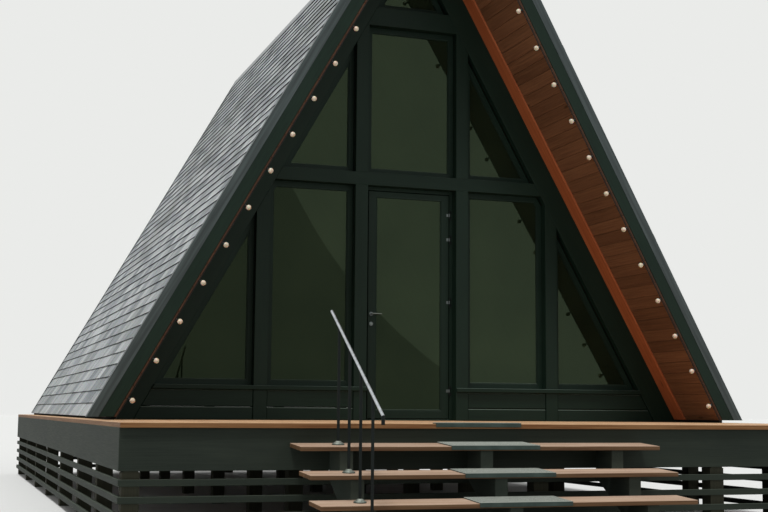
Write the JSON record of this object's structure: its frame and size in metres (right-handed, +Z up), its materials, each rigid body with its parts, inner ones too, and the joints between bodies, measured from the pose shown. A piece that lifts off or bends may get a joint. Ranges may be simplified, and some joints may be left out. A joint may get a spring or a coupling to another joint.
{
  "type": "a-frame cabin",
  "caption": "Steep a-frame cabin on a raised timber platform, with a glazed front wall, an outward-opening glass door, a deep boarded overhang, wide open steps and a handrail",
  "frame": {"origin": "on the ground under the middle of the glazed front, at the centre of the middle pier's foot", "axes": "+X to the right along the front, +Y from the front to the back, +Z up"},
  "size_m": [6.2642, 12.1613, 6.4554],
  "materials": {
    "frame_paint": "dark green paint on planed timber, satin",
    "roof_boards": "oiled spruce boarding, tongued and grooved",
    "gable_trim": "stained orange-brown board",
    "shingle": "mineral granules on bitumen shingles",
    "edge_metal": "grey coated sheet steel, folded",
    "ridge_metal": "pale grey coated sheet steel, folded",
    "pane": "clear double glazing",
    "deck_wood": "oiled larch boards",
    "raw_timber": "sawn structural timber",
    "skirt_paint": "dark grey-green paint on sawn boards",
    "mat": "ribbed anti-slip rubber",
    "rail_steel": "brushed stainless tube",
    "post_steel": "black powder coat",
    "lock_steel": "satin stainless",
    "lamp_black": "moulded rubbery plastic",
    "globe": "frosted globe"
  },
  "bodies": {
    "cabin": {"back_barge_boards": "frame_paint", "back_beams": "frame_paint", "back_glass": "pane", "back_posts": "frame_paint", "back_wall": "frame_paint", "back_window_frames": "frame_paint", "barge_board_left": "frame_paint", "barge_board_right": "frame_paint", "bearers": "raw_timber", "cabin_floor": "deck_wood", "deck_boards": "deck_wood", "door_frame": "frame_paint", "door_posts": "frame_paint", "fascia": "skirt_paint", "frame_hinges": "lock_steel", "front_rafter_left": "frame_paint", "front_rafter_right": "frame_paint", "gable_trim_boards": "gable_trim", "handrail": "rail_steel", "handrail_cap": "post_steel", "joists": "raw_timber", "light_cables": "lamp_black", "light_globes": "globe", "low_wall_left": "frame_paint", "low_wall_right": "frame_paint", "lower_glass": "pane", "main_beam": "frame_paint", "outer_posts": "frame_paint", "piers": "raw_timber", "rafters_left": "raw_timber", "rafters_right": "raw_timber", "rail_posts": "post_steel", "ridge_board": "raw_timber", "ridge_cap": "ridge_metal", "roof_boards_left": "roof_boards", "roof_boards_right": "roof_boards", "roofing_left": "shingle", "roofing_right": "shingle", "skirt_slats": "skirt_paint", "stair_stringers": "skirt_paint", "stair_treads": "deck_wood", "step_mats": "mat", "threshold": "frame_paint", "top_beam": "frame_paint", "upper_glass": "pane", "upper_posts": "frame_paint", "verge_kerbs": "raw_timber", "verge_metal_back": "edge_metal", "verge_metal_front": "edge_metal", "window_frames": "frame_paint", "window_sills": "frame_paint"},
    "door": {"door_leaf": "frame_paint", "door_glass": "pane", "door_handle": "lock_steel", "door_hinges": "lock_steel"}
  },
  "joints": [
    {"name": "door_swing", "type": "hinge", "parent": "cabin", "child": "door", "pos_m": [0.4205, 0.091, 1], "axis": [0, 0, 1], "range_deg": [0, 95]}
  ]
}
